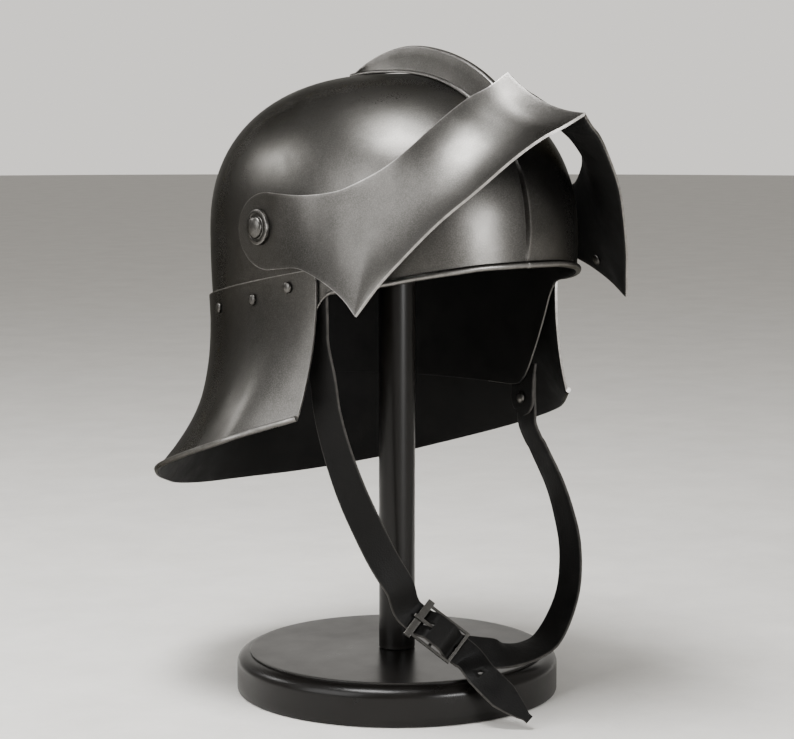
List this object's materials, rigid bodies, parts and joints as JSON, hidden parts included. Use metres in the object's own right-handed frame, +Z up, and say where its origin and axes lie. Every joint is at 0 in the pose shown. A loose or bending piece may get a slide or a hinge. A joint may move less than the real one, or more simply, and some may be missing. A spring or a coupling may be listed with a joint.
{
  "type": "visored sallet helmet on a display stand",
  "caption": "Hollow steel sallet with a crown comb, a flared neck guard, a pivoting prow-shaped visor shown raised and a buckled chin strap, seated on a round turned stand.",
  "frame": {"origin": "middle of the stand base's underside, on the post's axis", "axes": "+Z up along the stand's post, -Y the way the helmet faces, -X the wearer's right side"},
  "size_m": [0.2782, 0.3391, 0.3982],
  "materials": {
    "blackened_steel": "blackened and polished",
    "worn_steel": "blackened, worn bright on the domes",
    "black_leather": "smooth, slightly glossy",
    "buckle_steel": "darkened satin",
    "black_lacquer": "black satin lacquer on turned wood"
  },
  "bodies": {
    "helmet": {"skull": "blackened_steel", "comb": "blackened_steel", "neck_guard": "blackened_steel", "pivot_washer_left": "blackened_steel", "pivot_washer_right": "blackened_steel", "pivot_rivet_left": "worn_steel", "pivot_rivet_right": "worn_steel", "neck_rivet_1": "worn_steel", "neck_rivet_2": "worn_steel", "neck_rivet_3": "worn_steel", "neck_rivet_4": "worn_steel", "neck_rivet_5": "worn_steel", "neck_rivet_6": "worn_steel", "neck_rivet_7": "worn_steel", "strap_long": "black_leather", "strap_short": "black_leather", "strap_tab": "black_leather", "strap_rivet_left": "buckle_steel", "strap_rivet_right": "buckle_steel", "buckle_frame": "buckle_steel", "buckle_prong": "buckle_steel", "fold_rivet": "buckle_steel", "stand_base": "black_lacquer", "stand_post": "black_lacquer", "stand_head": "black_lacquer"},
    "visor": {"visor": "blackened_steel", "visor_stud": "worn_steel"}
  },
  "joints": [
    {"name": "visor_hinge", "type": "hinge", "parent": "helmet", "child": "visor", "pos_m": [0, -0.003, 0.292], "axis": [1, 0, 0], "range_deg": [-15, 40]}
  ]
}
